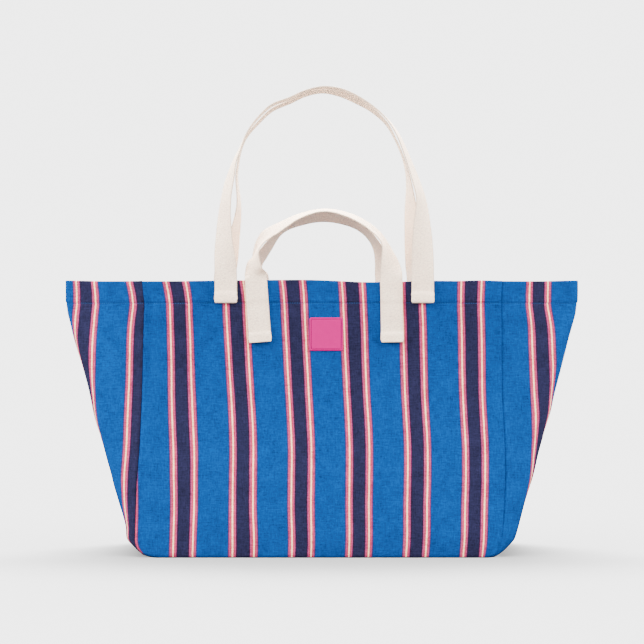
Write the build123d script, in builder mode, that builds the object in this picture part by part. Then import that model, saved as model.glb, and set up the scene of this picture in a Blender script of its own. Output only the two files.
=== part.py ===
"""A large striped canvas tote with a box base, side gussets, two shoulder straps and two hand straps.

Frame: origin on the floor under the middle of the bag, +X along its width, -Y towards its front, +Z up.
All sizes are in millimetres. The bag stands with its base open and its rim pulled partly flat, so each
gusset folds outwards: two creases run up from the base's corners and meet at the rim.
"""

import os

from build123d import *

# Cloth.
PANEL_WIDTH = 472.0  # front and back panels, seam to seam
GUSSET_WIDTH = 225.0  # gussets, seam to seam, and the depth of the base
BAG_HEIGHT = 352.5  # finished rim above the floor
HEM_HEIGHT = 30.5  # cloth turned in at the rim
CANVAS = 1.2  # thickness of one layer
RIM_SPLAY = 28.0  # degrees from the front panel to the gusset half beside it, at the rim
FOLD_NOSE = 3.0  # half width of the rounded fold at each end of the rim
WAIST_HEIGHT = 215.0  # the front and back lean in up to here, and are almost upright above it

# Webbing, patch and thread.
WEBBING_WIDTH = 30.0
WEBBING = 2.0  # thickness
PATCH_SIZE = 43.5
PATCH_CORNER = 2.5
PATCH_CENTRE = (5.5, 284.0)  # across, and above the floor
PATCH = 1.2  # thickness
THREAD = 0.4  # how far a line of stitches stands proud
STITCH_LINE = 0.9  # width of a line of stitches
HEM_STITCH_RISE = 2.0  # hem stitching above the hem's lower edge
PATCH_STITCH_INSET = 2.0
STRAP_STITCH_INSET = 3.0

# Seam allowances inside the bag, bound with tape.
BINDING_REACH = 9.0
BINDING = 3.0  # thickness
CLEARANCE = 0.1  # between the base's binding and the wall

# Sewn strap ends: (x at the rim, x at the lower end) of each, and how far down the wall they reach.
SHOULDER_REACH = 28.5
HAND_REACH = 80.0
FRONT_SHOULDER_ENDS = [(-125.0, -125.0), (131.0, 131.0)]
BACK_SHOULDER_ENDS = [(-131.0, -131.0), (128.5, 128.5)]
FRONT_HAND_ENDS = [(-86.0, -80.0), (90.0, 91.5)]
BACK_HAND_ENDS = [(-86.0, -86.0), (86.0, 86.0)]
HINGE_GAP = 0.4  # between a sewn end and its free loop, which turns about the rim

# Worked out from the sizes above.
FRONT, BACK = -1, 1
HALF_PANEL = PANEL_WIDTH / 2
HALF_GUSSET = GUSSET_WIDTH / 2
HEM_BOTTOM = BAG_HEIGHT - HEM_HEIGHT
RIM_FOLD = Vector(HALF_GUSSET, 0).rotate(Axis.Z, RIM_SPLAY)  # from seam to fold, at the rim
RIM_HALF_DEPTH = RIM_FOLD.Y

# Levels of the wall: height, y of the seams, x of the gussets' creases and y of the creases.
LEVELS = [
    (0.0, HALF_GUSSET, HALF_PANEL + 4, HALF_GUSSET - 4),
    (WAIST_HEIGHT, 57.0, HALF_PANEL + 73, 41.0),
    (HEM_BOTTOM, RIM_HALF_DEPTH, HALF_PANEL + RIM_FOLD.X, FOLD_NOSE),
    (BAG_HEIGHT, RIM_HALF_DEPTH, HALF_PANEL + RIM_FOLD.X, FOLD_NOSE),
]
FOOT = RIM_HALF_DEPTH + WEBBING / 2  # a strap's middle layer from the bag's middle, at the rim

# Free loops, foot to foot: x, distance from the bag's middle plane, height above the rim, and roll in
# degrees. The webbing faces outwards at its feet and rolls on edge as it goes over the top.
FRONT_SHOULDER_LOOP = [
    (-125, FOOT, 0, 0),
    (-127, 52, 56, 40),
    (-125, 44, 110, 68),
    (-118, 33, 152, 84),
    (-99.5, 24, 193.5, 89),
    (-67, 17, 231.5, 90),
    (-25, 16, 249.5, 90),
    (1, 16, 255, 90),
    (24, 16, 252.5, 90),
    (67, 17, 230.5, 90),
    (101, 26, 192.5, 88),
    (119, 35, 150, 84),
    (129.5, 44, 110, 67),
    (130.3, 52, 67, 34),
    (131, FOOT, 0, 0),
]
BACK_SHOULDER_LOOP = [
    (-131, FOOT, 0, 0),
    (-121, 53, 52, 50),
    (-113, 45, 102, 78),
    (-113, 34, 150, 86),
    (-101.5, 24, 192.5, 89),
    (-67, 17, 228.5, 88),
    (-25, 16, 248, 87),
    (1, 16, 253.5, 86),
    (24, 16, 250, 82),
    (67, 17, 228.5, 85),
    (97, 25, 192.5, 88),
    (113.5, 34, 150, 84),
    (120, 44, 98, 62),
    (126, 52, 40, 26),
    (128.5, FOOT, 0, 0),
]
FRONT_HAND_LOOP = [
    (-86, FOOT, 0, 0),
    (-85.5, 56, 20, 48),
    (-84, 54, 35, 78),
    (-80, 47, 48, 68),
    (-61, 34, 69, 63),
    (-30, 22, 86, 76),
    (3, 17, 94, 82),
    (35, 20, 88, 78),
    (67, 31, 68, 74),
    (84, 43, 46, 70),
    (89, 51, 23, 32),
    (90, FOOT, 0, 0),
]
BACK_HAND_LOOP = [
    (-86, FOOT, 0, 0),
    (-86, 51, 20, 54),
    (-77, 43, 42, 66),
    (-57, 31, 66, 80),
    (-28, 21, 80.5, 73),
    (2, 17, 87, 64),
    (30, 20, 82.5, 66),
    (56, 29, 69, 74),
    (76, 43, 45, 66),
    (84, 51, 20, 30),
    (86, FOOT, 0, 0),
]
SECTIONS_PER_SPAN = 2

os.makedirs("parts", exist_ok=True)


def save(part, name):
    part.label = name
    export_step(part, f"parts/{name}.step")


def wall_at(height):
    """The y of the seams, x of the creases and y of the creases at a height."""
    for below, above in zip(LEVELS, LEVELS[1:]):
        if height <= above[0]:
            share = (height - below[0]) / (above[0] - below[0])
            return [low + (high - low) * share for low, high in zip(below[1:], above[1:])]


def breaks(low, high):
    """The heights from low to high at which the wall has to be drawn."""
    return [low, *(level[0] for level in LEVELS if low < level[0] < high), high]


def outline(height, inset=0.0):
    """The bag's eight-sided outline at a height, moved inwards by inset."""
    seam_y, crease_x, crease_y = wall_at(height)
    right = [(HALF_PANEL, -seam_y), (crease_x, -crease_y), (crease_x, crease_y), (HALF_PANEL, seam_y)]
    left = [(-x, -y) for x, y in right]
    with BuildSketch(Plane.XY.offset(height)) as section:
        Polygon(*right, *left, align=None)
        if inset:
            offset(amount=-inset, kind=Kind.INTERSECTION, mode=Mode.REPLACE)
    return section.sketch


def stack(low, high, inset=0.0, mode=Mode.ADD):
    """Lofts the outline from low to high, straight between the wall's levels."""
    heights = breaks(low, high)
    for below, above in zip(heights, heights[1:]):
        loft([outline(below, inset), outline(above, inset)], ruled=True, mode=mode)


def band(ends, low, high, width, thickness, stand_off, side, shift=0.0):
    """A flat band up the front or back wall, which follows the slope of the wall and the slant of ends."""
    x_rim, x_end, reach = ends
    slant = (x_end - x_rim) / reach
    sections = []
    for height in breaks(low, high):
        middle = x_rim + slant * (BAG_HEIGHT - height) + shift
        with BuildSketch(Plane.XY.offset(height)) as section:
            with Locations((middle, side * (wall_at(height)[0] + stand_off + thickness / 2))):
                Rectangle(width, thickness)
        sections.append(section.sketch)
    loft(sections, ruled=True)


def loop_planes(points, side):
    """Planes across a strap's free loop, with x across the webbing and z along it."""
    places = [Vector(x, side * away, BAG_HEIGHT + HINGE_GAP + rise) for x, away, rise, roll in points]
    path = Spline(*places, tangents=[(0, 0, 1), (0, 0, -1)])
    chords = [(b - a).length for a, b in zip(places, places[1:])]
    planes = []
    for span, (start, end) in enumerate(zip(points, points[1:])):
        for step in range(SECTIONS_PER_SPAN):
            share = step / SECTIONS_PER_SPAN
            along = (sum(chords[:span]) + share * chords[span]) / sum(chords)
            planes.append(loop_plane(path, along, start[3] + share * (end[3] - start[3]), side))
    planes.append(loop_plane(path, 1.0, points[-1][3], side))
    return planes


def loop_plane(path, along, roll, side):
    tangent = path % along
    across = Vector(0, 1, 0).cross(tangent).normalized()
    return Plane(origin=path @ along, x_dir=across.rotate(Axis((0, 0, 0), tangent), side * roll), z_dir=tangent)


# Base panel, and the wall of canvas, which is doubled where the hem is turned in.
with BuildPart() as base_panel:
    extrude(outline(0), amount=CANVAS)
save(base_panel.part, "base_panel")

with BuildPart() as wall:
    stack(CANVAS, BAG_HEIGHT)
    stack(CANVAS, HEM_BOTTOM, CANVAS, Mode.SUBTRACT)
    stack(HEM_BOTTOM, BAG_HEIGHT, 2 * CANVAS, Mode.SUBTRACT)

# The wall is four pieces of cloth, which meet at the upright seams.
REACH = 4 * BAG_HEIGHT  # a box of this size holds the whole bag
WALL_PIECES = {
    "front_panel": (0, -REACH / 2, PANEL_WIDTH),
    "back_panel": (0, REACH / 2, PANEL_WIDTH),
    "left_gusset": (-(HALF_PANEL + REACH / 2), 0, REACH),
    "right_gusset": (HALF_PANEL + REACH / 2, 0, REACH),
}
for name, (centre_x, centre_y, width) in WALL_PIECES.items():
    with BuildPart() as wall_piece:
        add(wall.part)
        with Locations((centre_x, centre_y, 0)):
            Box(width, REACH, REACH, mode=Mode.INTERSECT)
    save(wall_piece.part, name)

# Bound seam allowances, standing inwards along the base and up the four upright seams.
binding_top = CANVAS + BINDING_REACH
with BuildPart() as base_seam_binding:
    stack(CANVAS, binding_top, CANVAS + CLEARANCE)
    stack(CANVAS, binding_top, CANVAS + BINDING, Mode.SUBTRACT)
save(base_seam_binding.part, "base_seam_binding")

for front_or_back, side in (("front", FRONT), ("back", BACK)):
    for left_or_right, seam_x in (("left", -HALF_PANEL), ("right", HALF_PANEL)):
        with BuildPart() as seam_binding:
            upright = (seam_x, seam_x, BAG_HEIGHT)
            band(upright, binding_top, HEM_BOTTOM, BINDING, BINDING_REACH, -BINDING_REACH, side)
            add(wall.part, mode=Mode.SUBTRACT)
        save(seam_binding.part, f"{front_or_back}_{left_or_right}_seam_binding")

# Straps. Each is one length of webbing, with two sewn ends and a free loop that turns about the rim.
STRAPS = {
    "front_shoulder_strap": (FRONT, FRONT_SHOULDER_ENDS, SHOULDER_REACH, FRONT_SHOULDER_LOOP),
    "back_shoulder_strap": (BACK, BACK_SHOULDER_ENDS, SHOULDER_REACH, BACK_SHOULDER_LOOP),
    "front_hand_strap": (FRONT, FRONT_HAND_ENDS, HAND_REACH, FRONT_HAND_LOOP),
    "back_hand_strap": (BACK, BACK_HAND_ENDS, HAND_REACH, BACK_HAND_LOOP),
}
sewn_ends = []
for name, (side, both_ends, reach, points) in STRAPS.items():
    end_low = BAG_HEIGHT - reach
    with BuildPart() as strap_ends:
        for ends in both_ends:
            band((*ends, reach), end_low, BAG_HEIGHT, WEBBING_WIDTH, WEBBING, 0, side)
    save(strap_ends.part, f"{name}_ends")
    sewn_ends.append(strap_ends.part)

    # A box of stitches round each sewn end.
    low, high = end_low + STRAP_STITCH_INSET, BAG_HEIGHT - STRAP_STITCH_INSET
    box_half = WEBBING_WIDTH / 2 - STRAP_STITCH_INSET
    with BuildPart() as strap_stitching:
        for ends in both_ends:
            for shift in (-box_half, box_half):
                band((*ends, reach), low, high, STITCH_LINE, THREAD, WEBBING, side, shift)
            for height in (low, high - STITCH_LINE):
                band((*ends, reach), height, height + STITCH_LINE, 2 * box_half, THREAD, WEBBING, side)
    save(strap_stitching.part, f"{name}_stitching")

    with BuildPart() as strap_loop:
        sections = []
        for plane in loop_planes(points, side):
            with BuildSketch(plane) as section:
                Rectangle(WEBBING_WIDTH, WEBBING)
            sections.append(section.sketch)
        loft(sections, ruled=True)
    save(strap_loop.part, name)

# The line of hem stitches goes round the bag, and under the sewn ends.
with BuildPart() as hem_stitching:
    stitch_low = HEM_BOTTOM + HEM_STITCH_RISE
    stack(stitch_low, stitch_low + STITCH_LINE, -THREAD)
    stack(stitch_low, stitch_low + STITCH_LINE, 0, Mode.SUBTRACT)
    for strap_end in sewn_ends:
        add(strap_end, mode=Mode.SUBTRACT)
save(hem_stitching.part, "hem_stitching")

# Leather patch, sewn flat on the slope of the front panel.
patch_x, patch_z = PATCH_CENTRE
waist_y = wall_at(WAIST_HEIGHT)[0]
panel_rise = Vector(0, waist_y - RIM_HALF_DEPTH, HEM_BOTTOM - WAIST_HEIGHT)
patch_plane = Plane(
    origin=(patch_x, -wall_at(patch_z)[0], patch_z),
    x_dir=(1, 0, 0),
    z_dir=Vector(1, 0, 0).cross(panel_rise),
)
with BuildPart() as leather_patch:
    with BuildSketch(patch_plane):
        RectangleRounded(PATCH_SIZE, PATCH_SIZE, PATCH_CORNER)
    extrude(amount=PATCH)
save(leather_patch.part, "leather_patch")

stitch_size = PATCH_SIZE - 2 * PATCH_STITCH_INSET
with BuildPart() as patch_stitching:
    with BuildSketch(patch_plane.offset(PATCH)):
        RectangleRounded(stitch_size, stitch_size, PATCH_CORNER)
        offset(amount=-STITCH_LINE, mode=Mode.SUBTRACT)
    extrude(amount=THREAD)
save(patch_stitching.part, "patch_stitching")
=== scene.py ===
"""Looks of the striped canvas tote: a soft sewn shell, webbing straps, a leather patch and every line of stitches.

All shapes are worked out in millimetres in the row frame and turned into metres when a mesh is made.
"""

import math

import bpy
import numpy as np
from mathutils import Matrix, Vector


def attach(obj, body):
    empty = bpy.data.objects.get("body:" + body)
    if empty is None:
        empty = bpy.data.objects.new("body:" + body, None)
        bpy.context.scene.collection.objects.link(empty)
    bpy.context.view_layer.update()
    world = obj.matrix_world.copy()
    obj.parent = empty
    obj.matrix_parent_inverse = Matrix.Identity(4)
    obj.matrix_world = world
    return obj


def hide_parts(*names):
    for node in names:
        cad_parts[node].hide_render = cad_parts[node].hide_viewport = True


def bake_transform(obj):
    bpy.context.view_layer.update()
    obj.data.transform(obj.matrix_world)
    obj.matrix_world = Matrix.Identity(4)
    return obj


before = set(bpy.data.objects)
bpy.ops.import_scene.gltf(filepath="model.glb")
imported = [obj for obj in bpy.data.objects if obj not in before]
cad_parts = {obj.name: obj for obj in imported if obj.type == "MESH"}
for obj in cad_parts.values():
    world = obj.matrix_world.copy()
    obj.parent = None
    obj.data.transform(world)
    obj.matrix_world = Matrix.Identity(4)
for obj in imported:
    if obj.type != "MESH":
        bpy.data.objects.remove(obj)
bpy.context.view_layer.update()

MM = 0.001
FRONT, BACK = -1, 1
LEFT, RIGHT = -1, 1

# ---------------------------------------------------------------- sizes, as in the CAD model

HALF_PANEL = 236.0
GUSSET = 225.0
RIM = 352.5
HEM = 30.5
HEM_BOTTOM = RIM - HEM
CANVAS = 1.2
WEBBING_WIDTH = 29.0
WEBBING = 1.9
SHOULDER_REACH = 28.5
HAND_REACH = 80.0
HINGE_GAP = 0.4
RIM_HALF_DEPTH = 52.8
FOOT = RIM_HALF_DEPTH + 1.0
PATCH_SIZE = 43.5
PATCH_CENTRE = (5.5, 284.0)
HEM_STITCH = 324.4

# The wall's shape as (height, value): the seams' x on each side, the seams' y, and the gussets' creases.
SEAM_X = {
    LEFT: [
        (0, 240), (17, 239.5), (49, 239), (97, 238), (136, 235.8), (181, 234.4), (225, 233.8), (280, 233.2),
        (312, 232.6), (324, 232.4), (333, 233.2), (352.5, 236.7),
    ],
    RIGHT: [
        (0, 227), (9, 228), (34, 231), (80, 235), (129, 236.5), (199, 234.3), (300, 234), (324, 233.4), (352.5, 234.5),
    ],
}
SEAM_Y = [(0, 112), (25, 108), (50, 101.5), (100, 88), (150, 75), (215, 60.5), (268, 54.5), (324, 52.8), (352.5, 52.8)]
CREASE_X = {
    LEFT: [
        (0, 240), (12, 245.8), (23, 251), (36, 252.3), (51, 256.6), (66, 261.8), (81, 266.2), (96, 271.6), (111, 276.8),
        (142, 286.2), (172, 297), (203, 304.4), (234, 313.2), (250, 318.6), (266, 324.2), (281, 328.8), (297, 332.8),
        (313, 336.8), (322, 338.4), (352.5, 339.4),
    ],
    RIGHT: [
        (0, 238), (10, 241.5), (21, 247), (36, 252.2), (51, 257), (66, 262), (81, 267.5), (96, 273), (111, 277.5),
        (126, 281.4), (142, 286.2), (160, 292), (182, 299.4), (203, 304), (234, 311.8), (266, 320.4), (297, 330.2),
        (313, 335.4), (322, 337.4), (352.5, 338.6),
    ],
}
CREASE_Y = [
    (0, 104), (50, 92), (100, 78), (150, 61.5), (215, 41), (268, 23), (297, 12.5), (313, 7), (324, 4), (352.5, 3),
]
CREASE_ROUND = [(0, 10), (60, 15), (150, 20), (240, 16), (297, 9), (320, 5), (327, 3), (352.5, 2.6)]

# Free loops of the straps: x, distance from the middle plane, height above the rim, roll in degrees.
FRONT_SHOULDER_LOOP = [
    (-125, FOOT, 0, 0), (-127.5, 52, 54, 38), (-125, 44, 109.5, 62), (-120.5, 38, 134, 67), (-116, 33, 153, 77),
    (-108, 28, 173, 83), (-99.5, 24, 193.5, 87), (-84, 20, 215.5, 89), (-67, 17, 231.5, 90), (-42, 16, 241.5, 90),
    (-23, 16, 250, 90), (1, 16, 255.5, 90), (22, 16, 253.5, 90), (49, 16, 242, 90), (67, 17, 230.5, 88),
    (86.5, 21, 212.5, 84), (100, 26, 192, 80), (108.5, 30.5, 172, 77), (116.5, 35, 150, 73), (123, 39.5, 131, 69),
    (129, 44, 110, 64), (130.3, 51.5, 68, 33), (131, FOOT, 0, 0),
]
BACK_SHOULDER_LOOP = [
    (-131, FOOT, 0, 0), (-121, 53, 50, 52), (-112, 46, 100, 80), (-113.5, 34, 149.5, 88), (-101.5, 24, 192.5, 90),
    (-84, 20, 213, 89), (-67, 17, 228.5, 88), (-42, 16, 240, 87), (-23, 16, 249, 87), (1, 16, 254, 86),
    (22, 16, 251, 82), (49, 16, 239.5, 82), (67, 17, 228.5, 85), (86, 21, 211, 88), (97, 25, 192.5, 90),
    (113.5, 34, 150, 86), (120, 45, 90, 54), (126, 53, 26, 18), (128.5, FOOT, 0, 0),
]
FRONT_HAND_LOOP = [
    (-86, FOOT, 0, 0), (-88, 55.5, 14, 34), (-88.5, 56, 24, 53), (-86.5, 54, 34.5, 76), (-83.5, 49, 43.5, 74),
    (-79, 44, 52.5, 66), (-72, 40, 61, 60), (-60.5, 34, 69, 63), (-49.4, 29, 75.8, 69), (-29.6, 22, 86, 76),
    (3.3, 17, 94, 81), (35, 20, 87.5, 77), (67, 31, 68, 73), (84, 43, 46, 70), (89, 51, 23, 32), (90, FOOT, 0, 0),
]
BACK_HAND_LOOP = [
    (-86, FOOT, 0, 0), (-89, 52.5, 13, 52), (-87, 50, 23, 68), (-82, 46.5, 33, 66), (-76, 42, 43, 66),
    (-57, 31, 66, 80), (-28, 21, 80.5, 73), (2, 17, 87.5, 63), (30, 20, 83, 65), (56, 29, 69.5, 73),
    (76, 43, 45, 66), (84, 51, 20, 30), (86, FOOT, 0, 0),
]
# name: side, (x at the rim, x at the lower end) of each sewn end, reach down the wall, free loop
STRAPS = {
    "front_shoulder_strap": (FRONT, [(-125, -125), (131, 131)], SHOULDER_REACH, FRONT_SHOULDER_LOOP),
    "back_shoulder_strap": (BACK, [(-131, -131), (128.5, 128.5)], SHOULDER_REACH, BACK_SHOULDER_LOOP),
    "front_hand_strap": (FRONT, [(-86, -80), (90, 91.5)], HAND_REACH, FRONT_HAND_LOOP),
    "back_hand_strap": (BACK, [(-86, -86), (86, 86)], HAND_REACH, BACK_HAND_LOOP),
}

# ---------------------------------------------------------------- number helpers


def along(table, x):
    """A smooth curve through the table's rows, at x."""
    xs, ys = np.array(table, float).T
    x = np.clip(np.asarray(x, float), xs[0], xs[-1])
    slope = np.gradient(ys, xs)
    i = np.clip(np.searchsorted(xs, x, side="right") - 1, 0, len(xs) - 2)
    h = xs[i + 1] - xs[i]
    t = (x - xs[i]) / h
    return (
        ys[i] * (1 + 2 * t) * (1 - t) ** 2
        + h * slope[i] * t * (1 - t) ** 2
        + ys[i + 1] * t * t * (3 - 2 * t)
        + h * slope[i + 1] * t * t * (t - 1)
    )


def step(x, low, high):
    """A smooth change from 0 at low to 1 at high. It falls instead where low is the larger."""
    t = np.clip((x - low) / (high - low), 0, 1)
    return t * t * (3 - 2 * t)


def bell(x, width):
    """A smooth hump of height 1 at x = 0."""
    return np.exp(-((x / width) ** 2))


def fuzz(x, y, seed):
    """Smooth noise from -1 to 1 with features about one unit across."""
    grid = np.random.default_rng(seed).uniform(-1, 1, (64, 64))
    x, y = np.broadcast_arrays(np.asarray(x, float), np.asarray(y, float))
    i, j = np.floor(x).astype(int), np.floor(y).astype(int)
    a, b = x - i, y - j
    a, b = a * a * (3 - 2 * a), b * b * (3 - 2 * b)
    at = lambda di, dj: grid[(i + di) % 64, (j + dj) % 64]
    return (at(0, 0) * (1 - a) + at(1, 0) * a) * (1 - b) + (at(0, 1) * (1 - a) + at(1, 1) * a) * b


def unit(v):
    return v / np.maximum(np.linalg.norm(v, axis=-1, keepdims=True), 1e-9)


def spread(*runs):
    """Rising numbers along runs of (end, step), the first run giving the start as (start, None)."""
    values = [float(runs[0][0])]
    for end, gap in runs[1:]:
        count = max(1, int(round(abs(end - values[-1]) / gap)))
        values += list(np.linspace(values[-1], end, count + 1)[1:])
    return np.array(values)


# ---------------------------------------------------------------- the wall's surface

CORNER_X, CORNER_Z = 41.0, 22.0  # how far the round of each bottom corner reaches
CORNER_START = 204.0


def round_corners(p):
    """Rounds the bag's bottom corners as seen from the front: the corner of a square goes to a circle."""
    x, z = p[..., 0], p[..., 2]
    s = np.clip((np.abs(x) - CORNER_START) / CORNER_X, 0, 1.2)
    t = np.clip((CORNER_Z - z) / CORNER_Z, 0, 1.1)
    new_x = np.where(
        (s > 0) & (t > 0), np.sign(x) * (CORNER_START + CORNER_X * s * np.sqrt(1 - np.minimum(t * t, 1) / 2)), x
    )
    new_z = np.where((s > 0) & (t > 0), CORNER_Z - CORNER_Z * t * np.sqrt(1 - np.minimum(s * s, 1) / 2), z)
    return np.stack([new_x, p[..., 1], new_z], -1)


def panel_base(side, u, z):
    """The front or back panel before its wrinkles, at u across the cloth and height z."""
    left, right = -along(SEAM_X[LEFT], z), along(SEAM_X[RIGHT], z)
    x = left + (right - left) * (u / HALF_PANEL + 1) / 2
    across = 1 - (u / HALF_PANEL) ** 2
    belly = 3.2 * across * bell(z - 95, 70) - 1.0 * across * bell(z - 250, 60)
    sway = 1.1 * fuzz(u / 120 + 3, side * 7.0, 5) * step(z, 250, RIM)
    return np.stack([x, side * (along(SEAM_Y, z) + belly + sway), z + 0 * u], -1)


def gusset_base(side, s, z):
    """A gusset before its wrinkles, at s round the cloth from the front seam and height z."""
    seam_x, seam_y = along(SEAM_X[side], z), along(SEAM_Y, z)
    crease_x, crease_y = along(CREASE_X[side], z), along(CREASE_Y, z)
    run = np.hypot(crease_x - seam_x, seam_y - crease_y)
    total = 2 * (run + crease_y)
    t = s / GUSSET * total
    m = np.minimum(t, total - t)
    dx, dy = (crease_x - seam_x) / run, (seam_y - crease_y) / run
    w = np.minimum(np.minimum(along(CREASE_ROUND, z), 0.95 * crease_y), 0.9 * run)
    a = np.clip((m - run + w) / (2 * w), 0, 1)
    before = np.minimum(m, run - w)
    after = np.maximum(m - run - w, 0)
    x = seam_x + dx * before + w * dx * (1 - (1 - a) ** 2)
    y = seam_y - dy * before - w * (dy * (1 - (1 - a) ** 2) + a * a) - after
    middle = np.clip((m - run - w) / np.maximum(crease_y - w, 1), 0, 1)
    dent = 4.5 * np.sin(middle * math.pi / 2) ** 2 * step(z, 20, 150) * step(z, 340, 230)
    x = x - dent
    y = np.where(t > total / 2, y, -y)
    return np.stack([side * x, y, z + 0 * s], -1)


def wrinkles(kind, side, a, z):
    """How far the cloth stands off its plain shape. a is u on a panel and s on a gusset."""
    if kind == "panel":
        from_left, from_right = a + HALF_PANEL, HALF_PANEL - a
        edge = np.minimum(from_left, from_right)
        seed = 20 if side == FRONT else 40
    else:
        edge = np.minimum(a, GUSSET - a)
        seed = 60 if side == LEFT else 80
    calm = step(edge, 2, 40) * step(z, 4, 40) * (1 - 0.8 * step(z, 297, 327))
    d = 1.7 * calm * fuzz(a / 95 + seed, z / 130, seed)
    d = d + 0.55 * calm * fuzz(a / 34 + 0.35 * z / 34, z / 70 + 9, seed + 1)
    d = d + 0.16 * step(edge, 2, 12) * fuzz(a / 13, z / 19, seed + 2)
    # Puckers along the seams and the base.
    pucker = np.sin(z / 2.3 + 2.2 * fuzz(z / 21, seed, seed + 3))
    d = d + 0.30 * np.exp(-edge / 7) * pucker * step(z, 10, 40)
    foot = np.sin(a / 3.1 + 2.5 * fuzz(a / 27, seed, seed + 4))
    d = d + 0.30 * np.exp(-z / 7) * foot
    # The cloth turns in at its seams.
    d = d - 2.8 * np.exp(-edge / 1.3) - 0.9 * np.exp(-edge / 8) + 0.75 * bell(edge - 3.6, 2.0)
    d = d - 2.0 * np.exp(-z / 1.6)
    # The line of hem stitches draws the cloth in, with small tucks below it.
    d = d - 0.75 * bell(z - HEM_STITCH, 1.3) - 0.5 * bell(z - HEM_STITCH + 5, 5) + 0.3 * bell(z - HEM_STITCH - 4, 3)
    d = d + 0.16 * np.exp(-np.abs(z - HEM_STITCH + 2) / 7) * np.sin(a / 1.9 + 3 * fuzz(a / 17, seed, seed + 5))
    if kind == "panel" and side == FRONT:
        # Creases left from folding the bag away, and the softer cloth beside the left seam.
        level = 101 + 1.5 * fuzz(a / 60, 0.5, 7)
        d = d - 0.55 * bell(z - level, 1.5) + 0.5 * bell(z - level, 12)
        upright = 88 + 1.2 * fuzz(z / 60, 0.5, 8)
        d = d - 0.45 * bell(a - upright, 1.6) * step(z, 30, 60) * step(z, 320, 290)
        d = d - 2.6 * bell(from_left - 10, 8) * step(z, 150, 250) - 1.6 * bell(from_left - 5, 5) * bell(z - RIM, 9)
    if kind == "gusset" and side == LEFT:
        d = d - 3.0 * bell(a - 34, 13) * bell(z - 122, 26) + 1.4 * bell(a - 40, 14) * bell(z - 88, 16)
    if kind == "gusset" and side == RIGHT:
        d = d - 1.6 * bell(a - 30, 14) * bell(z - 150, 40) + 1.0 * bell(a - 26, 10) * bell(z - 250, 50)
    return d


# How far the front's rim stands above its even height, by place across the panel.
RIM_RISE = [
    (-236, 0.6), (-190, 0.6), (-151, 1.2), (-100, 1.8), (-59, 2.2), (-5, 2.0), (12, 1.3), (33, 0.3), (49, -0.5),
    (64, -0.7), (90, -0.4), (151, 1.1), (181, 0.9), (204, 1.6), (236, 0.9),
]


def rim_rise(kind, side, a, z):
    """How far the sewn rim rises above its even height."""
    if kind == "gusset":
        rise = 0.7 + 1.6 * bell(a - GUSSET / 2, 42)
    else:
        rise = along(RIM_RISE, a) if side == FRONT else 0.6 + 0.8 * fuzz(a / 120, 0.5, 77)
    return rise * step(z, HEM_STITCH - 2, RIM - 6)


def surface(kind, side, a, z):
    """The outer face of the wall and its outward direction."""
    a, z = np.broadcast_arrays(np.asarray(a, float), np.asarray(z, float))
    base = panel_base if kind == "panel" else gusset_base
    width = 0.4

    def plain(aa, zz):
        return base(side, aa, zz)

    p = plain(a, z)
    p[..., 2] += rim_rise(kind, side, a, z)
    du = plain(a + width, z) - plain(a - width, z)
    dz = plain(a, np.minimum(z + width, RIM)) - plain(a, np.maximum(z - width, 0))
    out = unit(np.cross(du, dz))
    away = p.copy()
    away[..., 2] = 0
    if kind == "panel":
        away[..., 0] = 0
    flip = np.sign(np.sum(out * away, -1, keepdims=True))
    out = out * np.where(flip == 0, 1, flip)
    return p + out * wrinkles(kind, side, a, z)[..., None], out


def face_point(kind, side, a, z, lift=0.0):
    p, out = surface(kind, side, a, z)
    return round_corners(p + out * np.asarray(lift, float)[..., None] if np.ndim(lift) else p + out * lift), out


# ---------------------------------------------------------------- meshes


def make_mesh(name, points, faces, uv=None, smooth=True):
    """An object of points in millimetres. uv gives each point's place on the cloth, in metres."""
    mesh = bpy.data.meshes.new(name)
    mesh.from_pydata((np.asarray(points, float) * MM).tolist(), [], [list(map(int, f)) for f in faces])
    if uv is not None:
        layer = mesh.uv_layers.new(name="cloth")
        index = np.zeros(len(mesh.loops), int)
        mesh.loops.foreach_get("vertex_index", index)
        layer.data.foreach_set("uv", np.asarray(uv, np.float32)[index].ravel())
    if smooth:
        mesh.polygons.foreach_set("use_smooth", np.ones(len(mesh.polygons), bool))
    mesh.update()
    piece = bpy.data.objects.new(name, mesh)
    bpy.context.scene.collection.objects.link(piece)
    return piece


def grid_faces(rows, columns, start=0, wrap=False):
    r, c = np.meshgrid(np.arange(rows - 1), np.arange(columns if wrap else columns - 1), indexing="ij")
    nxt = (c + 1) % columns
    a = start + r * columns + c
    b = start + r * columns + nxt
    return np.stack([a, b, b + columns, a + columns], -1).reshape(-1, 4)


def thick_sheet(name, middle, thickness, uv):
    """A closed sheet of cloth round a grid of middle points, shape (rows, columns, 3)."""
    rows, columns = middle.shape[:2]
    dr = np.gradient(middle, axis=0)
    dc = np.gradient(middle, axis=1)
    out = unit(np.cross(dc, dr))
    n = rows * columns
    faces_apart = (middle + out * thickness / 2, middle - out * thickness / 2)
    points = np.concatenate([face.reshape(-1, 3) for face in faces_apart])
    top = grid_faces(rows, columns)
    under = top[:, ::-1] + n
    idx = np.arange(n).reshape(rows, columns)
    rim = np.concatenate([idx[0, :], idx[1:, -1], idx[-1, -2::-1], idx[-2:0:-1, 0]])
    nxt = np.roll(rim, -1)
    side = np.stack([rim, rim + n, nxt + n, nxt], -1)
    faces = np.concatenate([top, under, side])
    return make_mesh(name, points, faces, np.concatenate([uv.reshape(-1, 2)] * 2))


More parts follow.
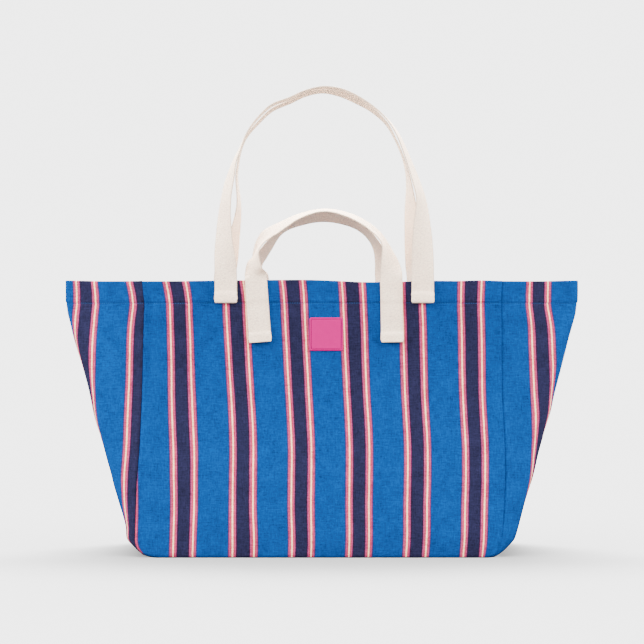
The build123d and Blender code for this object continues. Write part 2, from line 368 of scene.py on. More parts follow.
def wall_piece(name, kind, side, columns, stripe):
    """One cut piece of the wall, from the base seam up over the rim and down inside to the hem's lower edge."""
    turn_z = RIM - 1.6
    up = spread((0, None), (4, 1.0), (30, 2.6), (312, 3.2), (320, 2.0), (329, 0.9), (346, 2.5), (turn_z, 1.1))
    turn = np.radians([18, 45, 72, 90, 108, 135, 162])
    down = spread((turn_z, None), (328, 3.0), (HEM_BOTTOM - 0.5, 1.3))
    path = [(z, 0.6, z) for z in up]
    path += [(turn_z + 0.2 + 0.8 * math.sin(t), 1.4 - 0.8 * math.cos(t), turn_z + 1.4 * t) for t in turn]
    path += [(z, 2.2 - 0.25 * math.exp(-((z - HEM_STITCH) / 1.5) ** 2), turn_z + 4.4 + (turn_z - z)) for z in down]
    heights, depths, lengths = np.array(path).T
    a = np.broadcast_to(columns, (len(path), len(columns)))
    z = np.broadcast_to(heights[:, None], a.shape)
    p, out = surface(kind, side, a, z)
    middle = round_corners(p - out * depths[:, None, None])
    v = np.broadcast_to(lengths[:, None], a.shape)
    uv = np.stack([stripe(a, z), v], -1) * MM
    return thick_sheet(name, middle, CANVAS, uv)


# ---------------------------------------------------------------- stripes

PERIOD = 77.1  # from one group of stripes to the next
# How far the front's stripes lean sideways at each height.
LEAN = [(0, 16.9), (10, 16.6), (100, 14.0), (173, 10.6), (263, 4.4), (327, 0.8), (352.5, 0)]
FRONT_PHASE = -208.4  # the left edge of a group on the front panel, at the rim
# How far the front's groups stand off an even repeat, by place across.
DRIFT = [(-240, 1.4), (-208, 1.2), (-131, -1.6), (-54, -2.0), (23, -1.3), (100, -0.4), (177, 0.3), (240, 0.3)]
BACK_PHASE = 190  # sets where the groups fall on the back panel and the base


def front_stripe(u, z):
    share = np.clip(1 - 0.0034 * (u + 60), 0, 1.05) * (1 - 0.38 * step(-u, 140, 190) * bell(z - 195, 80))
    foot = step(z, 75, 5) * (4.2 * step(u, -150, -70) - 1.2)
    here = u - along(LEAN, z) * share - foot
    return here - along(DRIFT, here) - FRONT_PHASE


def back_stripe(u, z):
    return u + 0.012 * (RIM - z) * (1 + u / 400) + BACK_PHASE


def left_stripe(s, z):
    near_seam = np.exp(-s / 40)
    return s + 15.1 + near_seam * along([(0, -1), (231, -1), (270, -0.8), (293, -0.4), (324, 2.8), (352.5, 1.3)], z)


def right_stripe(s, z):
    return s * (1 - 0.035 * step(z, 324, 280)) - 35.5 + 1.3 * step(z, 290, 324)


def base_stripe(x):
    return x + BACK_PHASE


# ---------------------------------------------------------------- node helpers


class Nodes:
    """A material's node tree, with short ways to add to it."""

    def __init__(self, name):
        self.material = bpy.data.materials.new(name)
        self.material.use_nodes = True
        self.tree = self.material.node_tree
        self.shader = self.tree.nodes["Principled BSDF"]

    def add(self, kind, inputs=(), **settings):
        node = self.tree.nodes.new(kind)
        for key, value in settings.items():
            setattr(node, key, value)
        for key, value in dict(inputs).items():
            self.put(node.inputs[key], value)
        return node

    def put(self, socket, value):
        if isinstance(value, bpy.types.NodeSocket):
            self.tree.links.new(value, socket)
        else:
            socket.default_value = value

    def math(self, operation, a, b=0.0, c=0.0, clamp=False):
        return self.add("ShaderNodeMath", {0: a, 1: b, 2: c}, operation=operation, use_clamp=clamp).outputs[0]

    def mix(self, factor, a, b, blend="MIX"):
        node = self.add("ShaderNodeMix", data_type="RGBA", blend_type=blend, clamp_result=True)
        self.put(node.inputs["Factor"], factor)
        self.put(node.inputs[6], a)
        self.put(node.inputs[7], b)
        return node.outputs[2]

    def cloth(self):
        """The place on the cloth: across and along, in metres."""
        uv = self.add("ShaderNodeUVMap", uv_map="cloth").outputs[0]
        split = self.add("ShaderNodeSeparateXYZ", {0: uv})
        return uv, split.outputs[0], split.outputs[1]

    def noise(self, vector, scale, detail=2.0, roughness=0.5, stretch=(1, 1, 1), offset=(0, 0, 0)):
        moved = self.add("ShaderNodeMapping", {"Vector": vector, "Scale": stretch, "Location": offset}).outputs[0]
        inputs = {"Vector": moved, "Scale": scale, "Detail": detail, "Roughness": roughness}
        return self.add("ShaderNodeTexNoise", inputs).outputs["Fac"]

    def bump(self, height, strength, distance, normal=None):
        inputs = {"Height": height, "Strength": strength, "Distance": distance}
        if normal is not None:
            inputs["Normal"] = normal
        return self.add("ShaderNodeBump", inputs).outputs[0]


def wave(n, coordinate, pitch):
    """A sine wave from -1 to 1 along a coordinate in metres."""
    return n.math("SINE", n.math("MULTIPLY", coordinate, 2 * math.pi / pitch))


# ---------------------------------------------------------------- materials

# Colours are how much red, green and blue light each dye sends back.
BLUE = (0.0009, 0.0350, 0.154)
NAVY = (0.0118, 0.0114, 0.0330)
PINK, DEEP_PINK, OUTER_PINK = (0.40, 0.032, 0.075), (0.33, 0.021, 0.060), (0.29, 0.041, 0.108)
CREAM = (0.99, 0.60, 0.34)
EDGE, BLUE_EDGE, NAVY_EDGE = (0.080, 0.014, 0.055), (0.013, 0.024, 0.088), (0.019, 0.0065, 0.021)

# Across one group of stripes, in millimetres from its left edge.
BAND = [
    (0.0, BLUE_EDGE), (0.9, EDGE), (1.5, OUTER_PINK), (2.8, DEEP_PINK), (3.3, PINK), (4.9, CREAM), (6.7, PINK),
    (8.3, DEEP_PINK), (8.8, OUTER_PINK), (10.1, EDGE), (10.7, NAVY_EDGE),
]
NAVY_WIDTH = 14.6
BAND_WIDTH = 11.6
BAND_START = 0.8  # how far the first band reaches before its place


def stripe_material(name):
    """Plain-weave canvas, striped by the place across the cloth."""
    n = Nodes(name)
    uv, across, length = n.cloth()
    wobble = n.noise(uv, 40, 2, 0.5, (1, 0.35, 1))
    yarn = n.noise(uv, 900, 1, 0.5, (0.2, 1, 1))
    place = n.math("ADD", across, n.math("MULTIPLY", n.math("SUBTRACT", wobble, 0.5), 0.0012))
    place = n.math("ADD", place, n.math("MULTIPLY", n.math("SUBTRACT", yarn, 0.5), 0.0005))
    phase = n.math("FRACT", n.math("DIVIDE", n.math("ADD", place, BAND_START * MM), PERIOD * MM))
    stops = [*BAND, (BAND_WIDTH, NAVY)]
    ends = [at for at, colour in BAND[1:]] + [BAND_WIDTH]
    mirrored = [(BAND_WIDTH - end, colour) for end, (at, colour) in zip(ends, BAND)][::-1]
    stops += [(BAND_WIDTH + NAVY_WIDTH + at, colour) for at, colour in mirrored]
    stops += [(2 * BAND_WIDTH + NAVY_WIDTH, BLUE)]
    ramp = n.add("ShaderNodeValToRGB", {0: phase})
    ramp.color_ramp.interpolation = "CONSTANT"
    elements = ramp.color_ramp.elements
    while len(elements) > 1:
        elements.remove(elements[-1])
    elements[0].position, elements[0].color = 0.0, (*stops[0][1], 1)
    for at, colour in stops[1:]:
        elements.new(at / PERIOD).color = (*colour, 1)
    colour = ramp.outputs[0]

    # Yarn-dyed cloth: slubs along both yarns, and a fine mottle.
    warp = n.noise(uv, 330, 2, 0.6, (1.9, 0.28, 1))
    weft = n.noise(uv, 330, 2, 0.6, (0.28, 1.9, 1), (3.1, 1.7, 0))
    cloud = n.noise(uv, 42, 3, 0.6, (1, 1, 1), (9, 4, 0))
    fine = n.noise(uv, 480, 2, 0.6)
    tone = n.math("MULTIPLY_ADD", warp, 1.0, n.math("MULTIPLY", weft, 1.1))
    tone = n.math("ADD", tone, n.math("MULTIPLY_ADD", cloud, 0.7, n.math("MULTIPLY", fine, 1.0)))
    tone = n.math("ADD", tone, 1 - 0.5 * (1.0 + 1.1 + 0.7 + 1.0))
    shade = n.add("ShaderNodeHueSaturation", {"Color": colour, "Value": tone})

    # The weave itself: over and under, with each yarn a little different.
    pitch = 0.00095
    crossed = n.math("MULTIPLY", wave(n, across, pitch), wave(n, length, pitch))
    warp_yarn = n.math("ABSOLUTE", wave(n, across, 2 * pitch))
    height = n.math("ADD", n.math("MULTIPLY", crossed, 0.35), n.math("MULTIPLY", warp_yarn, 0.15))
    height = n.math("ADD", height, n.math("MULTIPLY", warp, 0.6))
    height = n.math("ADD", height, n.math("MULTIPLY", weft, 0.7))
    n.put(n.shader.inputs["Normal"], n.bump(height, 0.55, 0.0004))
    gap = n.math("MULTIPLY_ADD", crossed, 0.07, 0.97)
    grey = n.add("ShaderNodeCombineColor", {0: gap, 1: gap, 2: gap}).outputs[0]
    n.put(n.shader.inputs["Base Color"], n.mix(1.0, shade.outputs[0], grey, "MULTIPLY"))
    n.put(n.shader.inputs["Roughness"], n.math("MULTIPLY_ADD", warp, 0.1, 0.88))
    n.shader.inputs["Specular IOR Level"].default_value = 0.03
    return n.material


def webbing_material(name):
    """Herringbone cotton webbing, undyed, with a few darker flecks and its sides browned, partly by painted shade."""
    n = Nodes(name)
    uv, across, length = n.cloth()
    column = 0.0075
    fold = n.math("PINGPONG", across, column)
    twill = wave(n, n.math("ADD", length, fold), 0.0016)
    rib = wave(n, across, 0.0008)
    fleck = n.noise(uv, 380, 2, 0.6, (0.7, 1.6, 1))
    cloud = n.noise(uv, 45, 3, 0.6)
    mottle = n.noise(uv, 520, 2, 0.7)
    tone = n.math("MULTIPLY_ADD", fleck, 0.8, n.math("MULTIPLY", cloud, 0.3))
    tone = n.math("ADD", tone, n.math("MULTIPLY", mottle, 0.9))
    tone = n.math("ADD", tone, n.math("MULTIPLY_ADD", twill, 0.04, 1 - 0.5 * (0.8 + 0.3 + 0.9)))
    shade = n.add("ShaderNodeHueSaturation", {"Color": (0.93, 0.71, 0.54, 1), "Value": tone})
    speck = n.math("GREATER_THAN", n.noise(uv, 420, 2, 0.5, (1, 0.5, 1), (5, 5, 0)), 0.74)
    colour = n.mix(n.math("MULTIPLY", speck, 0.15), shade.outputs[0], (0.45, 0.34, 0.25, 1))
    # Painted shade, partly real: the webbing's rounded sides are turned towards brown. This stands for the selvedge's
    # darker yarn and for shade where the edges turn away from the light.
    selvedge_and_edge_shade = n.math("GREATER_THAN", n.math("ABSOLUTE", across), (WEBBING_WIDTH / 2 - 0.75) * MM)
    colour = n.mix(n.math("MULTIPLY", selvedge_and_edge_shade, 0.45), colour, (0.38, 0.26, 0.18, 1))
    height = n.math("ADD", n.math("MULTIPLY", twill, 0.3), n.math("MULTIPLY", rib, 0.15))
    height = n.math("ADD", height, n.math("MULTIPLY", fleck, 0.6))
    n.put(n.shader.inputs["Normal"], n.bump(height, 0.35, 0.0003))
    n.put(n.shader.inputs["Base Color"], colour)
    n.put(n.shader.inputs["Roughness"], n.math("MULTIPLY_ADD", fleck, 0.1, 0.86))
    n.shader.inputs["Specular IOR Level"].default_value = 0.1
    return n.material


def thread_material(name, colour):
    """Twisted sewing thread, whose twist runs along each stitch."""
    n = Nodes(name)
    uv, across, length = n.cloth()
    twist = wave(n, n.math("ADD", length, n.math("MULTIPLY", across, 0.6)), 0.0006)
    vary = n.noise(uv, 600, 2)
    tone = n.math("MULTIPLY_ADD", n.math("ADD", n.math("MULTIPLY", twist, 0.3), vary), 0.35, 0.78)
    shade = n.add("ShaderNodeHueSaturation", {"Color": (*colour, 1), "Value": tone})
    n.put(n.shader.inputs["Base Color"], shade.outputs[0])
    n.put(n.shader.inputs["Normal"], n.bump(twist, 0.5, 0.00012))
    n.put(n.shader.inputs["Roughness"], n.math("MULTIPLY_ADD", vary, 0.2, 0.5))
    n.shader.inputs["Specular IOR Level"].default_value = 0.15
    return n.material


def tape_material(name, colour):
    """Folded cotton tape over the seam allowances, with a fine crosswise rib."""
    n = Nodes(name)
    uv, across, length = n.cloth()
    rib = wave(n, length, 0.0011)
    slub = n.noise(uv, 420, 3, 0.6, (0.5, 2, 1))
    tone = n.math("ADD", n.math("MULTIPLY", rib, 0.03), n.math("MULTIPLY_ADD", slub, 0.5, 0.75))
    shade = n.add("ShaderNodeHueSaturation", {"Color": (*colour, 1), "Value": tone})
    n.put(n.shader.inputs["Base Color"], shade.outputs[0])
    n.put(n.shader.inputs["Normal"], n.bump(n.math("ADD", rib, slub), 0.5, 0.00025))
    n.put(n.shader.inputs["Roughness"], n.math("MULTIPLY_ADD", slub, 0.15, 0.78))
    n.shader.inputs["Specular IOR Level"].default_value = 0.05
    return n.material


def leather_material(name):
    """Smooth dyed leather: fine pebbled grain, small pores and soft gloss."""
    n = Nodes(name)
    uv, across, length = n.cloth()
    pebbles = n.add("ShaderNodeTexVoronoi", {"Vector": uv, "Scale": 1500.0}, feature="DISTANCE_TO_EDGE")
    cells = pebbles.outputs["Distance"]
    wide = n.noise(uv, 120, 4, 0.6)
    fine = n.noise(uv, 2200, 2, 0.5)
    grain = n.math("ADD", n.math("MULTIPLY", n.math("MINIMUM", cells, 0.25), 1.6), n.math("MULTIPLY", fine, 0.25))
    tone = n.math("MULTIPLY_ADD", wide, 0.16, 0.92)
    shade = n.add("ShaderNodeHueSaturation", {"Color": (0.37, 0.0004, 0.118, 1), "Value": tone})
    colour = n.mix(n.math("MULTIPLY", grain, 0.12), shade.outputs[0], (0.38, 0.0008, 0.13, 1))
    n.put(n.shader.inputs["Base Color"], colour)
    n.put(n.shader.inputs["Normal"], n.bump(n.math("ADD", grain, n.math("MULTIPLY", wide, 0.6)), 0.35, 0.0002))
    n.put(n.shader.inputs["Roughness"], n.math("MULTIPLY_ADD", wide, 0.15, 0.40))
    n.shader.inputs["Specular IOR Level"].default_value = 0.03
    return n.material


canvas = stripe_material("striped_canvas")
webbing = webbing_material("cotton_webbing")
leather = leather_material("pink_leather")
blue_thread = thread_material("blue_thread", (0.010, 0.060, 0.20))
cream_thread = thread_material("cream_thread", (0.80, 0.62, 0.46))
pink_thread = thread_material("pink_thread", (0.15, 0.001, 0.05))
tape = tape_material("binding_tape", (0.004, 0.03, 0.12))


def dress(piece, material, slot, *nodes):
    """Gives a piece its material and hides the CAD nodes that it stands for. slot is not used."""
    piece.data.materials.append(material)
    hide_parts(*nodes)
    return piece


# ---------------------------------------------------------------- the cloth pieces

panel_columns = spread((-236, None), (-229, 1.0), (-218, 2.0), (218, 3.0), (229, 2.0), (236, 1.0))
gusset_columns = spread((0, None), (7, 1.0), (16, 2.0), (209, 2.6), (218, 2.0), (225, 1.0))

shells = [
    wall_piece("front_panel_cloth", "panel", FRONT, panel_columns, front_stripe),
    wall_piece("back_panel_cloth", "panel", BACK, panel_columns[::-1], back_stripe),
    wall_piece("left_gusset_cloth", "gusset", LEFT, gusset_columns[::-1], left_stripe),
    wall_piece("right_gusset_cloth", "gusset", RIGHT, gusset_columns, right_stripe),
]
for piece, node in zip(shells, ("front_panel", "back_panel", "left_gusset", "right_gusset")):
    dress(piece, canvas, "striped_canvas", node)
    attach(piece, "bag")


def base_cloth():
    """The base: flat on the floor, turned in at its seam, with its corners following the wall's."""
    x = spread((-1, None), (-0.97, 0.008), (-0.9, 0.02), (0.9, 0.025), (0.97, 0.02), (1, 0.008))
    y = spread((-1, None), (-0.95, 0.02), (0.95, 0.06), (1, 0.02))
    xx, yy = np.meshgrid(x, y)
    left, right = along(SEAM_X[LEFT], 0), along(SEAM_X[RIGHT], 0)
    side = np.where(xx < 0, left, right) + 6 * (1 - np.abs(yy) ** 6)
    px = xx * (side - 2.0)
    py = yy * (along(SEAM_Y, 0) - 2.0)
    edge = np.minimum((1 - np.abs(xx)) * side, (1 - np.abs(yy)) * 112)
    pz = 0.62 + 1.6 * np.exp(-edge / 2.0) + 0.25 * step(edge, 4, 30) * (1 + fuzz(px / 60, py / 60, 3))
    middle = round_corners(np.stack([px, py, pz], -1))
    uv = np.stack([base_stripe(px), py], -1) * MM
    return thick_sheet("base_cloth", middle[::-1], CANVAS, uv[::-1])


base = dress(base_cloth(), canvas, "striped_canvas", "base_panel")
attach(base, "bag")


# ---------------------------------------------------------------- sweeps: straps, bindings and stitches


def sweep_mesh(centres, across, up, profile):
    """Points and faces of a closed tube whose profile (n, 2) is carried along centres."""
    rings, n = len(centres), len(profile[0]) if profile.ndim == 3 else len(profile)
    shape = profile if profile.ndim == 3 else np.broadcast_to(profile, (rings, n, 2))
    points = (centres[:, None] + across[:, None] * shape[..., :1] + up[:, None] * shape[..., 1:]).reshape(-1, 3)
    faces = [tuple(f) for f in grid_faces(rings, n, wrap=True)]
    faces += [tuple(range(n - 1, -1, -1)), tuple(range((rings - 1) * n, rings * n))]
    return points, faces


def catmull(points, gap):
    """A smooth line through points, close to evenly spaced."""
    p = np.array(points, float)
    chord = np.concatenate([[0], np.cumsum(np.linalg.norm(np.diff(p[:, :3], axis=0), axis=1))])
    t = np.linspace(0, chord[-1], max(2, int(chord[-1] / gap)) + 1)
    return np.stack([along(np.stack([chord, p[:, k]], -1), t) for k in range(p.shape[1])], -1)


def webbing_profile(width, thickness):
    """Rounded edges, and a face that is slightly crowned between the two selvedges."""
    half, r = width / 2, thickness / 2
    top = [(x, r * (0.90 + 0.10 * math.cos(x / half * math.pi * 3))) for x in np.linspace(-half + r, half - r, 13)]
    right = [(half - r + r * math.sin(a), r * math.cos(a)) for a in np.radians([30, 60, 90, 120, 150])]
    bottom = [(x, -y) for x, y in top[::-1]]
    left = [(-x, -y) for x, y in right]
    return np.array(top + right + bottom + left)


def sewn_end(side, x_rim, x_end, reach):
    """Centres down a sewn end, from the rim to its lower edge, lifted further off the cloth where the end is folded
    under, and how far folded each centre is.
    """
    z = spread((RIM - 1, None), (RIM - reach + 16, 3.0), (RIM - reach + 1.2, 1.5))
    x = x_rim + (x_end - x_rim) * (RIM - z) / reach
    folded = step(z, RIM - reach + 15, RIM - reach + 12)
    p, _ = face_point("panel", side, x, z)
    p[..., 0] = x
    flat = np.array([0.0, side, 0.0])
    lift = WEBBING / 2 + 0.25 + folded * WEBBING * 0.95
    return p + flat * lift[:, None], folded


def strap_line(side, ends, reach, loop):
    """Centres, roll and how far folded the webbing is, along a whole strap: end, loop, end."""
    first, fold_a = sewn_end(side, *ends[0], reach)
    last, fold_b = sewn_end(side, *ends[1], reach)
    middle = [(x, side * away, RIM + HINGE_GAP + rise, roll) for x, away, rise, roll in loop]
    middle[0] = (*first[0][:2], RIM + 6, 0)
    middle[-1] = (*last[0][:2], RIM + 6, 0)
    head = [(*first[0], 0)]
    tail = [(*last[0], 0)]
    free = catmull(head + middle + tail, 2.4)
    rolls = np.concatenate([np.zeros(len(first) - 1), free[:, 3], np.zeros(len(last) - 1)])
    centres = np.concatenate([first[:0:-1], free[:, :3], last[1:]])
    flare = np.concatenate([fold_a[:0:-1], np.zeros(len(free)), fold_b[1:]])
    return centres, rolls, flare


def make_strap(name):
    side, ends, reach, loop = STRAPS[name]
    centres, rolls, flare = strap_line(side, ends, reach, loop)
    tangent = unit(np.gradient(centres, axis=0))
    e1 = unit(np.cross([0, 1, 0], tangent))
    e2 = np.cross(tangent, e1)
    angle = np.radians(rolls)[:, None]
    across = np.cos(angle) * e1 + side * np.sin(angle) * e2
    up = np.cross(tangent, across)
    arc = np.concatenate([[0], np.cumsum(np.linalg.norm(np.diff(centres, axis=0), axis=1))])
    profile = webbing_profile(WEBBING_WIDTH, WEBBING)
    from_end = np.minimum(arc, arc[-1] - arc)
    wide = 1 - 0.08 * np.exp(-from_end / 0.7) + 0.035 * flare
    ragged = 1 + (0.006 + 0.02 * flare) * fuzz(arc / 2.6, 2.0, 11)
    shapes = profile[None] * np.stack([wide * ragged, np.ones_like(wide)], -1)[:, None]
    shapes[..., 1] -= 0.3 * flare[:, None] * bell(from_end - 11.5, 1.2)[:, None] * np.sign(profile[None, :, 1])
    lumps = fuzz(arc[:, None] / 2.2, profile[None, :, 0] / 2.6, 13) * flare[:, None]
    shapes[..., 1] *= 1 + 0.85 * flare[:, None] + 0.35 * np.maximum(lumps, 0)
    shapes[..., 1] += 0.12 * fuzz(arc / 22, 1.0, 12)[:, None] * np.cos(profile[:, 0] / 15 * math.pi)[None]
    points, faces = sweep_mesh(centres, across, up, shapes)
    places = (profile[:, 0], arc[:, None])
    uv = np.stack([np.broadcast_to(place, shapes.shape[:2]) for place in places], -1)
    piece = make_mesh(name + "_webbing", points, faces, uv.reshape(-1, 2) * MM)
    dress(piece, webbing, "cream_webbing", name, name + "_ends")
    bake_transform(piece)
    return piece


for name in STRAPS:
    make_strap(name)


def stitch_line(points, normals, pitch=3.0, length=2.3, radius=0.3, sink=0.22):
    """Points, faces and cloth places of a row of stitches lying along a line of points."""
    arc = np.concatenate([[0], np.cumsum(np.linalg.norm(np.diff(points, axis=0), axis=1))])
    count = max(1, int(arc[-1] / pitch))
    starts = (np.arange(count) + 0.5) * arc[-1] / count - length / 2
    shares = np.array([0.0, 0.12, 0.35, 0.65, 0.88, 1.0])
    swell = np.array([0.35, 0.8, 1.0, 1.0, 0.8, 0.35])
    drop = np.array([-1.0, -0.25, 0.0, 0.0, -0.25, -1.0])
    ring = np.stack([np.cos(np.linspace(0, 2 * math.pi, 7)[:-1]), np.sin(np.linspace(0, 2 * math.pi, 7)[:-1])], -1)
    all_points, all_faces, all_uv = [], [], []
    for k, start in enumerate(starts):
        at = start + shares * length
        c = np.stack([np.interp(at, arc, points[:, j]) for j in range(3)], -1)
        nrm = unit(np.stack([np.interp(at, arc, normals[:, j]) for j in range(3)], -1))
        c = c + nrm * (radius - sink + drop[:, None] * radius * 1.6)
        t = unit(np.gradient(c, axis=0))
        across = unit(np.cross(nrm, t))
        up = np.cross(t, across)
        shape = ring[None] * (radius * swell)[:, None, None]
        p, f = sweep_mesh(c, across, up, shape)
        all_faces += [tuple(np.array(g) + len(shares) * len(ring) * k) for g in f]
        all_points.append(p)
        all_uv.append(np.stack([np.tile(ring[:, 0] * radius, len(shares)), np.repeat(at, len(ring))], -1))
    return np.concatenate(all_points), all_faces, np.concatenate(all_uv)


def join(parts):
    """One set of points, faces and cloth places from several."""
    points, faces, uv, start = [], [], [], 0
    for p, f, w in parts:
        points.append(p)
        faces += [tuple(np.array(g) + start) for g in f]
        uv.append(w)
        start += len(p)
    return np.concatenate(points), faces, np.concatenate(uv)


def hem_stitches():
    rows = []
    for kind, side, a in (
        ("panel", FRONT, np.linspace(-235, 235, 190)),
        ("panel", BACK, np.linspace(-235, 235, 190)),
        ("gusset", LEFT, np.linspace(1, 224, 110)),
        ("gusset", RIGHT, np.linspace(1, 224, 110)),
    ):
        z = HEM_STITCH + 0.35 * fuzz(a / 40, 1.5, 31)
        rows.append(stitch_line(*face_point(kind, side, a, z), pitch=3.1, length=2.5))
    points, faces, uv = join(rows)
    return make_mesh("hem_stitches", points, faces, uv * MM)


piece = dress(hem_stitches(), blue_thread, "blue_thread", "hem_stitching")
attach(piece, "bag")


def strap_stitches(name):
    """A row across each strap at the rim and a box near its lower end, lying on the webbing."""
    side, ends, reach, _ = STRAPS[name]
    rows = []
    for x_rim, x_end in ends:
        slant = (x_end - x_rim) / reach
        folded_low = RIM - reach + 3.2
        inset = WEBBING_WIDTH / 2 - 3.0

        def on_strap(across, z):
            x = x_rim + slant * (RIM - z) + across
            p, _ = face_point("panel", side, x, z)
            p[..., 0] = x
            folded = step(z, RIM - reach + 15, RIM - reach + 12)
            lift = WEBBING + 0.22 + folded * WEBBING * 0.95
            flat = np.broadcast_to(np.array([0.0, side, 0.0]), p.shape)
            return p + flat * lift[..., None], flat

        cross = np.linspace(-inset, inset, 9)
        uprights = np.linspace(folded_low, RIM - 3.0, 12)
        rows.append(stitch_line(*on_strap(cross, np.full(9, RIM - 3.0)), pitch=2.7, length=2.0, radius=0.26))
        rows.append(stitch_line(*on_strap(cross, np.full(9, folded_low)), pitch=2.7, length=2.0, radius=0.26))
        for edge in (-inset, inset):
            rows.append(stitch_line(*on_strap(np.full(12, edge), uprights), pitch=2.7, length=2.0, radius=0.26))
    points, faces, uv = join(rows)
    piece = make_mesh(name + "_stitches", points, faces, uv * MM)
    dress(piece, cream_thread, "cream_thread", name + "_stitching")
    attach(piece, "bag")


for name in STRAPS:
    strap_stitches(name)


# ---------------------------------------------------------------- patch


def patch_frame(a, b):
    """The front panel's face at places on the patch, with a little of the panel's waviness left."""
    x, z = PATCH_CENTRE[0] + a, PATCH_CENTRE[1] + b
    p, _ = face_point("panel", FRONT, x, z)
    p[..., 0] = x
    return p, np.broadcast_to(np.array([0.0, -1.0, 0.0]), p.shape)


def make_patch():
    half, corner = PATCH_SIZE / 2, 2.6
    t = np.sin(np.linspace(-math.pi / 2, math.pi / 2, 61))
    t = 0.55 * t + 0.45 * np.linspace(-1, 1, 61)
    s, r = np.meshgrid(t, t)
    # Pull the grid's corners in to the patch's round corners.
    a, b = s * half, r * half
    over_a, over_b = np.maximum(np.abs(a) - half + corner, 0), np.maximum(np.abs(b) - half + corner, 0)
    reach = np.maximum(over_a, over_b)
    length = np.maximum(np.hypot(over_a, over_b), 1e-9)
    a = np.where(over_a * over_b > 0, np.sign(a) * (half - corner + over_a * reach / length), a)
    b = np.where(over_a * over_b > 0, np.sign(b) * (half - corner + over_b * reach / length), b)
    edge = half - np.maximum(np.abs(s), np.abs(r)) * half
    height = 1.45 * (1 - np.exp(-edge / 0.45)) - 0.75 * bell(edge - 2.2, 0.5) + 0.18 * bell(edge - 1.1, 0.6)
    height = height + 0.05 * fuzz(a / 6, b / 6, 91) * step(edge, 1, 4)
    p, out = patch_frame(a, b)
    top = p + out * (0.35 + height[..., None])
    under = p + out * 0.12
    n = top.shape[0] * top.shape[1]
    points = np.concatenate([top.reshape(-1, 3), under.reshape(-1, 3)])
    f = grid_faces(*top.shape[:2])
    idx = np.arange(n).reshape(top.shape[:2])
    rim = np.concatenate([idx[0, :], idx[1:, -1], idx[-1, -2::-1], idx[-2:0:-1, 0]])
    nxt = np.roll(rim, -1)
    faces = np.concatenate([f, f[:, ::-1] + n, np.stack([rim, rim + n, nxt + n, nxt], -1)])
    uv = np.stack([a, b], -1).reshape(-1, 2) * MM
    return make_mesh("patch_leather", points, faces, np.concatenate([uv, uv]))


piece = dress(make_patch(), leather, "pink_leather", "leather_patch")
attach(piece, "bag")


def patch_stitches():
    half, corner, inset = PATCH_SIZE / 2, 2.0, 2.2
    reach = half - inset
    line = []
    for turn, (cx, cy) in enumerate(((1, 1), (-1, 1), (-1, -1), (1, -1))):
        for angle in np.radians(np.linspace(0, 90, 6) + 90 * turn):
            x = (reach - corner) * cx + corner * math.cos(angle)
            y = (reach - corner) * cy + corner * math.sin(angle)
            line.append((x, y))
    line.append(line[0])
    line = np.array(line)
    arc = np.concatenate([[0], np.cumsum(np.linalg.norm(np.diff(line, axis=0), axis=1))])
    at = np.linspace(0, arc[-1], 200)
    a, b = np.interp(at, arc, line[:, 0]), np.interp(at, arc, line[:, 1])
    p, out = patch_frame(a, b)
    rows = stitch_line(p + out * 1.5, out, pitch=2.3, length=1.8, radius=0.2, sink=0.12)
    return make_mesh("patch_stitches", rows[0], rows[1], rows[2] * MM)


piece = dress(patch_stitches(), pink_thread, "pink_thread", "patch_stitching")
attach(piece, "bag")


# ---------------------------------------------------------------- bindings inside


TAPE_REACH, TAPE_THICKNESS = 9.0, 2.6
BASE_TAPE_REACH = 8.5


def tape_profile(reach, thickness):
    """A folded tape: a fat rounded edge at the far end, closed at the seam."""
    r = thickness / 2
    tip = [(reach - r + r * math.cos(t), r * math.sin(t)) for t in np.radians(np.linspace(-80, 80, 7))]
    return np.array([(0, -r * 0.8), (reach * 0.45, -r * 0.92), *tip, (reach * 0.45, r * 0.92), (0, r * 0.8)])


def upright_binding(name, side, end):
    z = spread((12, None), (HEM_BOTTOM - 2, 4.0))
    u = np.full_like(z, end * HALF_PANEL)
    p, _ = surface("panel", side, u, z)
    p = round_corners(p)
    inward = np.broadcast_to(np.array([-end * 0.25, -side, 0.0]), p.shape)
    inward = unit(inward + 0.16 * np.stack([fuzz(z / 26, 1.0, 51 + end), 0 * z, 0 * z], -1))
    t = unit(np.gradient(p, axis=0))
    across = unit(inward - t * np.sum(inward * t, -1, keepdims=True))
    up = np.cross(t, across)
    profile = tape_profile(TAPE_REACH, TAPE_THICKNESS)
    points, faces = sweep_mesh(p + across * 0.3, across, up, profile)
    uv = np.stack([np.tile(profile[:, 0], len(z)), np.repeat(z, len(profile))], -1)
    piece = make_mesh(name + "_tape", points, faces, uv * MM)
    dress(piece, tape, "binding_tape", name)
    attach(piece, "bag")


for word, side in (("front", FRONT), ("back", BACK)):
    for hand, end in (("left", LEFT), ("right", RIGHT)):
        upright_binding(f"{word}_{hand}_seam_binding", side, end)


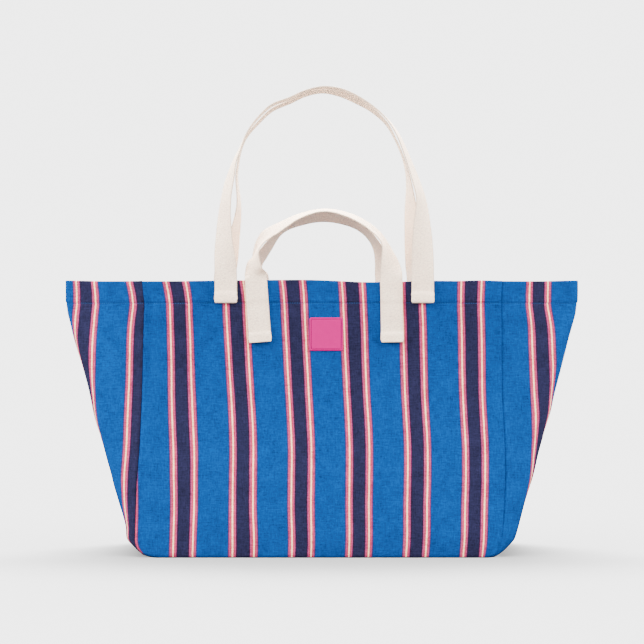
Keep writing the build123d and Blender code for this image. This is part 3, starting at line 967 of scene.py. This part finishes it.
def base_binding():
    """The binding round the base, standing up inside the foot of the wall."""
    loops = []
    u = np.linspace(-233, 233, 120)
    s = np.linspace(3, GUSSET - 3, 60)
    for kind, side, a in (
        ("panel", FRONT, u),
        ("gusset", RIGHT, s),
        ("panel", BACK, u[::-1]),
        ("gusset", LEFT, s[::-1]),
    ):
        p, out = surface(kind, side, a, np.full_like(a, 3.0))
        loops.append(round_corners(p - out * 2.4) + np.array([0, 0, -1.2]))
    line = np.concatenate(loops)
    line = np.concatenate([line, line[:1]])
    for _ in range(6):
        line[1:-1] = (line[:-2] + 2 * line[1:-1] + line[2:]) / 4
    t = unit(np.gradient(line, axis=0))
    lean = unit(np.cross([0, 0, 1.0], t)) * 0.35 + np.array([0, 0, 1.0])
    across = unit(lean - t * np.sum(lean * t, -1, keepdims=True))
    up = np.cross(t, across)
    profile = tape_profile(BASE_TAPE_REACH, TAPE_THICKNESS)
    points, faces = sweep_mesh(line, across, up, profile)
    arc = np.concatenate([[0], np.cumsum(np.linalg.norm(np.diff(line, axis=0), axis=1))])
    uv = np.stack([np.tile(profile[:, 0], len(line)), np.repeat(arc, len(profile))], -1)
    return make_mesh("base_seam_binding_tape", points, faces, uv * MM)


piece = dress(base_binding(), tape, "binding_tape", "base_seam_binding")
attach(piece, "bag")


# ---------------------------------------------------------------- floor, light and camera


def make_floor():
    """A pale floor, which shows only the soft shadow that the bag throws on it."""
    half = 3000.0
    corners = [(-half, -half, -0.4), (half, -half, -0.4), (half, half, -0.4), (-half, half, -0.4)]
    floor = make_mesh("floor", corners, [(0, 1, 2, 3)], smooth=False)
    n = Nodes("floor")
    n.shader.inputs["Base Color"].default_value = (0.12, 0.12, 0.12, 1)
    n.shader.inputs["Roughness"].default_value = 0.9
    n.shader.inputs["Specular IOR Level"].default_value = 0.0
    floor.data.materials.append(n.material)
    floor.is_shadow_catcher = True


make_floor()


BACKDROP = 4.34
SKY = 1.75
SKY_GAIN = (-0.35, -0.9, 3.0)  # more light from the left, the front and above


def make_world():
    """An even pale backdrop, and softer light that is strongest overhead and from the front."""
    world = bpy.data.worlds.new("studio")
    bpy.context.scene.world = world
    world.use_nodes = True
    tree = world.node_tree

    def add(kind, inputs, **settings):
        node = tree.nodes.new(kind)
        for key, value in settings.items():
            setattr(node, key, value)
        for key, value in inputs.items():
            if isinstance(value, bpy.types.NodeSocket):
                tree.links.new(value, node.inputs[key])
            else:
                node.inputs[key].default_value = value
        return node

    towards = add("ShaderNodeSeparateXYZ", {0: add("ShaderNodeTexCoord", {}).outputs["Generated"]}).outputs
    glow = SKY
    for axis, gain in enumerate(SKY_GAIN):
        inputs = {0: towards[axis], 1: gain, 2: glow}
        glow = add("ShaderNodeMath", inputs, operation="MULTIPLY_ADD").outputs[0]
    soft = add("ShaderNodeBackground", {"Color": (1, 1, 1, 1), "Strength": glow})
    backdrop = add("ShaderNodeBackground", {"Color": (1, 1, 1, 1), "Strength": BACKDROP})
    seen = add("ShaderNodeLightPath", {}).outputs["Is Camera Ray"]
    mix = add("ShaderNodeMixShader", {0: seen, 1: soft.outputs[0], 2: backdrop.outputs[0]})
    tree.links.new(mix.outputs[0], tree.nodes["World Output"].inputs[0])


make_world()


def area_light(name, place, target, size, power):
    data = bpy.data.lights.new(name, "AREA")
    data.shape, data.size, data.size_y = "RECTANGLE", *size
    data.energy = power
    light = bpy.data.objects.new(name, data)
    light.location = place
    light.rotation_euler = (Vector(target) - Vector(place)).to_track_quat("-Z", "Y").to_euler()
    bpy.context.scene.collection.objects.link(light)


area_light("key", (-2.4, -0.9, 1.1), (0, 0, 0.25), (1.2, 1.2), 145)
area_light("fill", (2.4, -0.9, 1.2), (0, 0, 0.25), (1.2, 1.2), 125)
area_light("top", (0.0, 0.9, 1.9), (0, 0, 0.1), (1.6, 0.8), 380)

RIM_DISTANCE = 3.0  # from the camera to the rim's front edge
FIELD = 0.837  # width of the picture there
CAMERA_HEIGHT = 0.2999
camera_data = bpy.data.cameras.new("camera")
camera_data.sensor_width = 36.0
camera_data.lens = 36.0 * RIM_DISTANCE / FIELD
camera_data.dof.use_dof = False
camera = bpy.data.objects.new("camera", camera_data)
camera.location = (0.0, -(RIM_DISTANCE + FOOT * MM), CAMERA_HEIGHT)
camera.rotation_euler = (math.radians(90), 0, 0)
bpy.context.scene.collection.objects.link(camera)
bpy.context.scene.camera = camera
